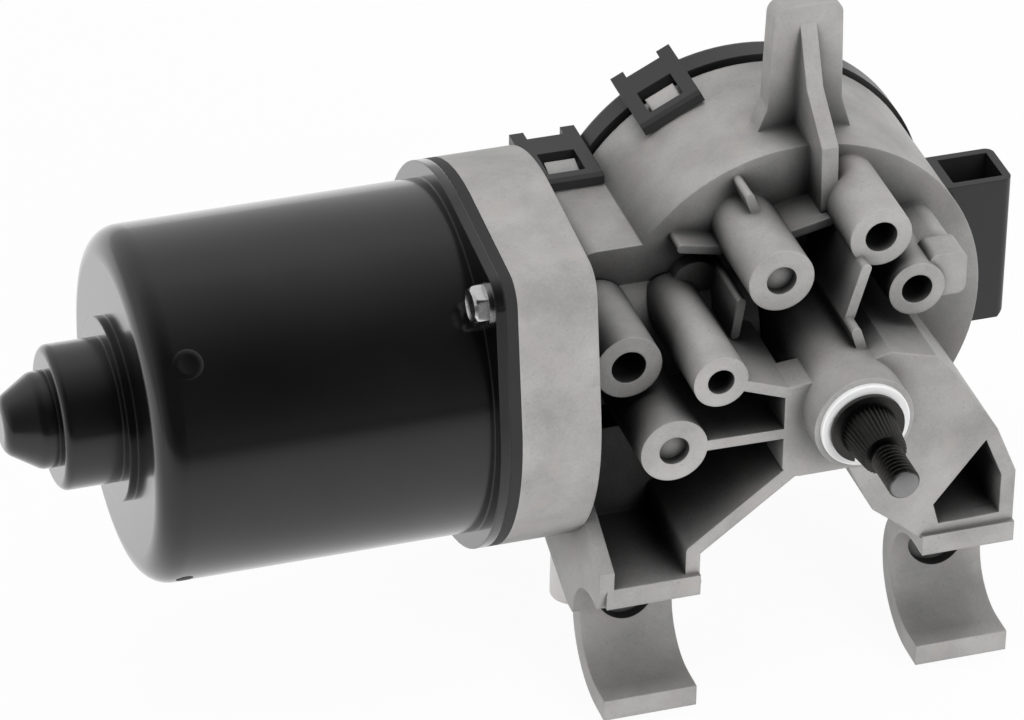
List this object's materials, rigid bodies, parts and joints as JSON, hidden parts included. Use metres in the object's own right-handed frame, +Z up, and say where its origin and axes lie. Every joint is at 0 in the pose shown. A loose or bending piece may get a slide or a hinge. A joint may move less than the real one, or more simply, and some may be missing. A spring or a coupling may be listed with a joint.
{
  "type": "wiper motor",
  "caption": "Electric windscreen wiper motor with a black can, a die-cast gear case, a splined output shaft and two cradles for its frame tube.",
  "frame": {"origin": "midway between the two saddle screws, on the floor of their counterbores", "axes": "+X along the motor shaft from the can to the gear case, -Y along the output shaft towards its threaded end, +Z up towards the locating post"},
  "size_m": [0.1877, 0.0942, 0.1165],
  "materials": {
    "can_enamel": "gloss black baked enamel",
    "gasket": "matt moulded",
    "zinc_screw": "bright zinc",
    "bronze": "sintered bronze",
    "spring_steel": "spring steel",
    "ferrite": "grey ferrite",
    "shaft_steel": "ground steel",
    "lamination_steel": "stacked laminations",
    "winding_copper": "enamelled copper wire",
    "resin": "moulded resin",
    "copper": "turned copper",
    "resin_board": "resin board",
    "brush_brass": "folded brass",
    "carbon": "pressed carbon",
    "spring_wire": "drawn wire",
    "choke_copper": "wound on ferrite",
    "hard_steel": "hardened",
    "cast_aluminium": "as die-cast, lightly blasted",
    "wheel_plastic": "moulded nylon",
    "pinion_steel": "cut steel",
    "gear_plastic": "moulded acetal",
    "contact_brass": "stamped brass",
    "dark_steel": "blackened steel",
    "bright_washer": "bright zinc",
    "washer_plastic": "moulded",
    "seal_rubber": "moulded rubber",
    "cover_plastic": "black glass-filled plastic",
    "white_plastic": "white moulded plastic"
  },
  "bodies": {
    "base": {"motor_can": "can_enamel", "flange_gasket": "gasket", "flange_screws": "zinc_screw", "rear_bush": "bronze", "bush_spring_plate": "spring_steel", "magnets": "ferrite", "brush_plate": "resin_board", "brush_tubes": "brush_brass", "carbon_brushes": "carbon", "brush_springs": "spring_wire", "choke_coils": "choke_copper", "worm_bush": "bronze", "end_bush": "bronze", "thrust_button": "hard_steel", "gear_housing": "cast_aluminium", "idler_pin": "shaft_steel", "shaft_washer": "bright_washer", "gear_washer": "washer_plastic", "shaft_bushes": "bronze", "shaft_seal": "seal_rubber", "cover_seal": "seal_rubber", "gear_cover": "cover_plastic", "connector_shroud": "cover_plastic", "connector_pins": "contact_brass", "park_contacts": "contact_brass", "vent_tube": "white_plastic"},
    "armature": {"armature_shaft": "shaft_steel", "armature_core": "lamination_steel", "armature_windings": "winding_copper", "commutator_hub": "resin", "commutator_bars": "copper"},
    "idler": {"worm_wheel": "wheel_plastic", "idler_pinion": "pinion_steel"},
    "output": {"output_shaft": "dark_steel", "gear_carrier": "pinion_steel", "output_gear": "gear_plastic", "park_disc": "contact_brass", "shaft_clip": "spring_steel"}
  },
  "joints": [
    {"name": "armature_spin", "type": "hinge", "parent": "base", "child": "armature", "pos_m": [-0.072, 0.0191, 0.0416], "axis": [1, 0, 0], "continuous": true},
    {"name": "idler_spin", "type": "hinge", "parent": "base", "child": "idler", "pos_m": [-0.01362, 0.0191, 0.0536], "axis": [0, 1, 0], "continuous": true},
    {"name": "output_spin", "type": "hinge", "parent": "base", "child": "output", "pos_m": [0.006, 0.0191, 0.0416], "axis": [0, 1, 0], "continuous": true}
  ],
  "couplings": [
    {"joint": "idler_spin", "follows": "armature_spin", "ratio": 0.0625},
    {"joint": "output_spin", "follows": "armature_spin", "ratio": -0.017361}
  ]
}
